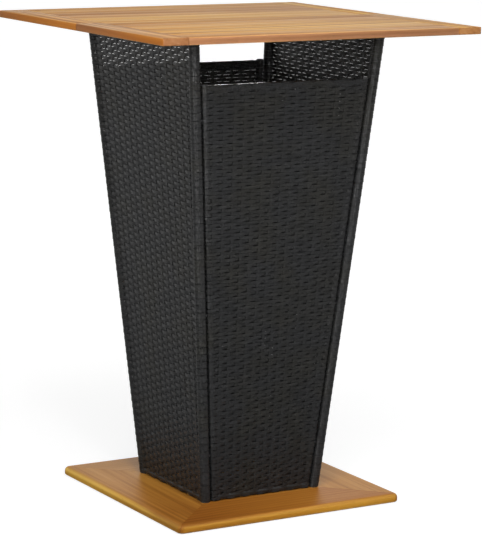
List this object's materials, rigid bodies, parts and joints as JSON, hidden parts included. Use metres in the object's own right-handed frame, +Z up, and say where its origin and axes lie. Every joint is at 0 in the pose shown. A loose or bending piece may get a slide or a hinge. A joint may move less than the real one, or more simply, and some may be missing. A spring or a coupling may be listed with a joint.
{
  "type": "bar table",
  "caption": "Square outdoor bar table: wooden top in two slatted halves on a tapered pillar of flat woven plastic rattan, open under the top, with a mitred wooden foot board.",
  "frame": {"origin": "on the floor, under the middle of the table", "axes": "+Z up; the panel faces that stop short of the top face -Y (front) and +Y (back)"},
  "size_m": [0.8, 0.8, 1.1],
  "materials": {
    "top_wood": "oiled acacia, satin",
    "base_wood": "oiled acacia, satin",
    "dowel_wood": "plain beech",
    "frame_steel": "black powder coat",
    "rattan": "satin black polyethylene strand",
    "zinc": "zinc plated",
    "black_zinc": "black zinc plated",
    "glide_plastic": "black moulded plastic"
  },
  "bodies": {
    "root": {"front_slat_1": "top_wood", "front_slat_2": "top_wood", "front_slat_3": "top_wood", "front_slat_4": "top_wood", "front_slat_5": "top_wood", "front_slat_6": "top_wood", "back_slat_1": "top_wood", "back_slat_2": "top_wood", "back_slat_3": "top_wood", "back_slat_4": "top_wood", "back_slat_5": "top_wood", "back_slat_6": "top_wood", "front_end_board_left": "top_wood", "front_end_board_right": "top_wood", "back_end_board_left": "top_wood", "back_end_board_right": "top_wood", "slat_dowels": "dowel_wood", "batten_left": "top_wood", "batten_right": "top_wood", "batten_screws": "zinc", "top_screws": "zinc", "left_side_frame": "frame_steel", "right_side_frame": "frame_steel", "front_panel_frame": "frame_steel", "back_panel_frame": "frame_steel", "left_weave": "rattan", "right_weave": "rattan", "front_weave": "rattan", "back_weave": "rattan", "panel_bolts": "black_zinc", "panel_saddle_washers": "black_zinc", "panel_inserts": "black_zinc", "base_front": "base_wood", "base_back": "base_wood", "base_left": "base_wood", "base_right": "base_wood", "mitre_splines": "dowel_wood", "base_bolts": "zinc", "base_washers": "zinc", "base_nuts": "zinc", "glides": "glide_plastic"}
  },
  "joints": []
}
